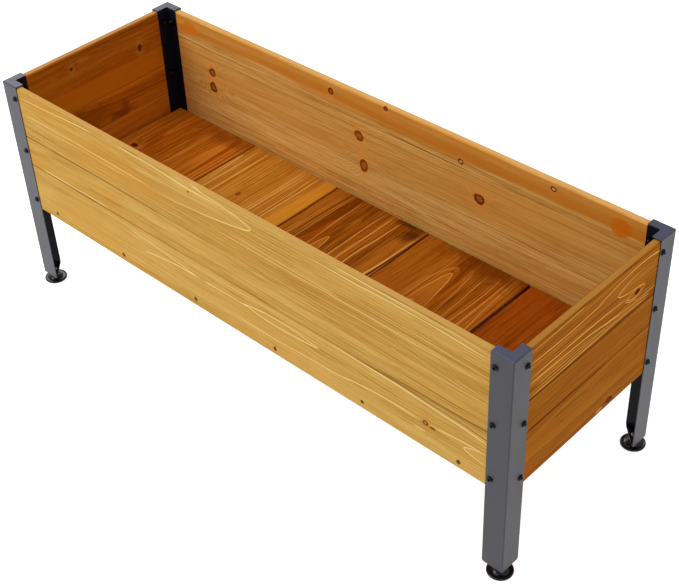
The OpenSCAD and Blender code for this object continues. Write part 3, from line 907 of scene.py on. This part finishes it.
def make_stem(corner, material):
    """Levelling stem: swivel disc, M8 thread and a hexagon collar for the spanner."""
    centre = foot_centre(corner)
    low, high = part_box(f"foot_stem_{corner}")
    collar = hexagon(13 * MM)
    bevel, chamfer = [smaller(collar, circle(radius * MM)) for radius in (6.5, 6.9)]
    collar_rows = ((7.3, bevel), (7.6, chamfer), (7.9, collar),
                   (8.9, collar), (9.2, chamfer), (9.5, bevel))
    rows = rounds([(2.0, 5.2), (2.2, 5.5), (3.8, 5.5), (4.0, 5.2)])
    rows += thread_rows(4.0 * MM, 7.3 * MM, *M8)
    rows += [(z * MM, shape) for z, shape in collar_rows]
    rows += thread_rows(9.5 * MM, high.z - 1.0 * MM, *M8)
    rows += [(high.z - 0.5 * MM, circle(3.2 * MM)), (high.z, circle(2.8 * MM))]
    mesh = bmesh.new()
    turned(mesh, rows, 48, Matrix.Translation((centre.x, centre.y, 0)))
    piece_from(mesh, f"stem_{corner}", f"stem_{corner}", [f"foot_stem_{corner}"],
               material)


def bolt_rows():
    """Button-head bolt along Z, with the underside of its head at zero."""
    socket = hexagon(4 * MM)
    rows = [(-1.3 * MM, socket), (-3.05 * MM, socket),
            (-3.25 * MM, lambda angle: socket(angle) + 0.15 * MM)]
    rows += rounds(arc((0.0, 0.0), (3.93, 5.24), 57, 0, 8), up=-1)
    rows += rounds([(0.0, 3.0), (17.0, 3.0)])
    rows += thread_rows(17.0 * MM, 24.2 * MM, *M6)
    rows += rounds([(24.6, 2.3), (25.0, 2.0)])
    return rows


BOLT_INSET = 30 * MM
BOLT_HEAD_RADIUS = 5.25 * MM
BOLT_LEVELS = 3


def make_bolts(corner, material):
    """The six wall bolts of a corner, at the rows and flanges where the CAD has them."""
    low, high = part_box(f"bolts_{corner}")
    post_low, post_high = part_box(f"post_{corner}")
    side_x, side_y = CORNERS[corner]
    post_x = post_high.x if side_x > 0 else post_low.x
    post_y = post_high.y if side_y > 0 else post_low.y
    lowest, highest = low.z + BOLT_HEAD_RADIUS, high.z - BOLT_HEAD_RADIUS
    through_y = Matrix.Rotation(math.radians(90 * side_y), 4, "X")
    through_x = Matrix.Rotation(math.radians(-90 * side_x), 4, "Y")
    mesh = bmesh.new()
    for level in range(BOLT_LEVELS):
        z = lowest + (highest - lowest) * level / (BOLT_LEVELS - 1)
        for place, turn in (((post_x - side_x * BOLT_INSET, post_y, z), through_y),
                            ((post_x, post_y - side_y * BOLT_INSET, z), through_x)):
            turned(mesh, bolt_rows(), 24, Matrix.Translation(place) @ turn)
    piece_from(mesh, f"bolt_set_{corner}", "root", [f"bolts_{corner}"],
               material, 35)


# Painted light: how bright each post's paint is made on its sides and on its folded top,
# standing in for the light that is stronger on the left posts and the sheen that differs from
# top to top.
POST_PAINTED_LIGHT = {
    "front_left": (1.0, 1.12),
    "front_right": (0.78, 1.2),
    "back_left": (0.9, 0.6),
    "back_right": (0.84, 1.2),
}
POST_SIDE = linear(49, 49, 60)
# Painted sheen: the folded tops' tone, lighter and bluer than the sides.
POST_CAP = linear(54, 55, 78)
# Painted shade: the near-black tone of the posts' inner faces.
POST_INNER_SHADE = linear(18, 18, 25)


def post_steel(corner):
    """The blue-grey coat of that corner's post, made lighter or darker as painted light."""
    side, cap = POST_PAINTED_LIGHT[corner]
    tone = tuple(side * c for c in POST_SIDE)
    top = tuple(cap * c for c in POST_CAP)
    name = f"post_steel_{corner}"
    return painted_steel(name, tone, 0.42, 1.0, 0.5 * side, POST_INNER_SHADE, top, cap / side)


def finish_metal():
    bracket_paint = painted_steel("bracket_steel", linear(8, 14, 30), 0.55, 4.0, shine=0.2)
    fastener = dark_fastener("black_fastener", linear(2, 2, 4), linear(9, 9, 12))
    rust = dark_fastener("rusty_nail", linear(66, 22, 8), linear(120, 66, 30))
    zinc, plastic = zinc_steel(), black_plastic()
    for corner in CORNERS:
        cover(NODES[f"post_{corner}"], post_steel(corner))
        for part in ("bracket", "foot_plate", "foot_nut"):
            cover(NODES[f"{part}_{corner}"], bracket_paint)
        cover(NODES[f"nuts_{corner}"], fastener)
        make_bolts(corner, fastener)
        make_stem(corner, zinc)
        make_pad(corner, plastic)
    for side in ("front", "back"):
        cover(NODES[f"ledger_nails_{side}"], rust)


# ------------------------------------------------------------------ the studio


def make_floor():
    """A wide white floor, seen from above only."""
    graph = Graph("floor_white")
    back = graph.add("ShaderNodeNewGeometry").outputs["Backfacing"]
    paper = graph.add("ShaderNodeBsdfDiffuse", {"Color": (0.72, 0.72, 0.72, 1.0)}).outputs[0]
    white = (1.0, 1.0, 1.0, 1.0)
    glow = graph.add("ShaderNodeEmission", {"Color": white, "Strength": 0.78}).outputs[0]
    lit = graph.add("ShaderNodeAddShader", {0: paper, 1: glow}).outputs[0]
    clear = graph.add("ShaderNodeBsdfTransparent").outputs[0]
    seen = graph.add("ShaderNodeMixShader", {0: back, 1: lit, 2: clear}).outputs[0]
    graph.add("ShaderNodeOutputMaterial", {0: seen})
    bpy.ops.mesh.primitive_plane_add(size=120.0, location=(0, 0, 0))
    floor = bpy.context.object
    floor.name = "studio_floor"
    floor.data.materials.append(graph.material)


def make_world(strength):
    world = bpy.data.worlds.new("studio")
    bpy.context.scene.world = world
    world.use_nodes = True
    background = world.node_tree.nodes["Background"]
    background.inputs["Color"].default_value = (1.0, 1.0, 1.0, 1.0)
    background.inputs["Strength"].default_value = strength


# name: place, what it points at, width and power
LIGHTS = {
    "key": ((-1.6, -2.6, 2.6), (0, 0, 0.3), 2.2, 58),
    "sheen": ((-2.8, 1.6, 2.1), (0, 0, 0.4), 1.6, 26),
    "top": ((0.0, 0.0, 3.2), (0, 0, 0.3), 2.5, 22),
}


def make_light(name, place, target, size, power):
    data = bpy.data.lights.new(name, "AREA")
    data.shape, data.size, data.energy = "DISK", size, power
    light = bpy.data.objects.new(name, data)
    bpy.context.scene.collection.objects.link(light)
    light.location = place
    light.rotation_mode = "QUATERNION"
    light.rotation_quaternion = (Vector(target) - Vector(place)).to_track_quat("-Z", "Y")


CAMERA_PLACE = (1.2898, -1.2352, 1.5936)
# How far it is turned to the left, tilted down and rolled, in degrees.
CAMERA_TURN = (45.0, 39.2, -2.8)
CAMERA_LENS = 71.59


def make_camera():
    """A long lens high in front of the right end, looking down at the trough."""
    yaw, pitch, roll = [math.radians(angle) for angle in CAMERA_TURN]
    ahead = Vector((-math.sin(yaw) * math.cos(pitch), math.cos(yaw) * math.cos(pitch),
                    -math.sin(pitch)))
    right = Vector((math.cos(yaw), math.sin(yaw), 0.0))
    up = right.cross(ahead)
    tilted_right = math.cos(roll) * right + math.sin(roll) * up
    tilted_up = -math.sin(roll) * right + math.cos(roll) * up
    data = bpy.data.cameras.new("camera")
    data.lens, data.sensor_width = CAMERA_LENS, 36.0
    data.clip_start, data.clip_end = 0.05, 50.0
    camera = bpy.data.objects.new("camera", data)
    bpy.context.scene.collection.objects.link(camera)
    rotation = Matrix((tilted_right, tilted_up, -ahead)).transposed().to_4x4()
    camera.matrix_world = Matrix.Translation(CAMERA_PLACE) @ rotation
    bpy.context.scene.camera = camera


finish_boards()
finish_metal()
make_floor()
make_world(0.5)
for light_name, settings in LIGHTS.items():
    make_light(light_name, *settings)
make_camera()
bpy.context.scene.view_settings.view_transform = "Standard"
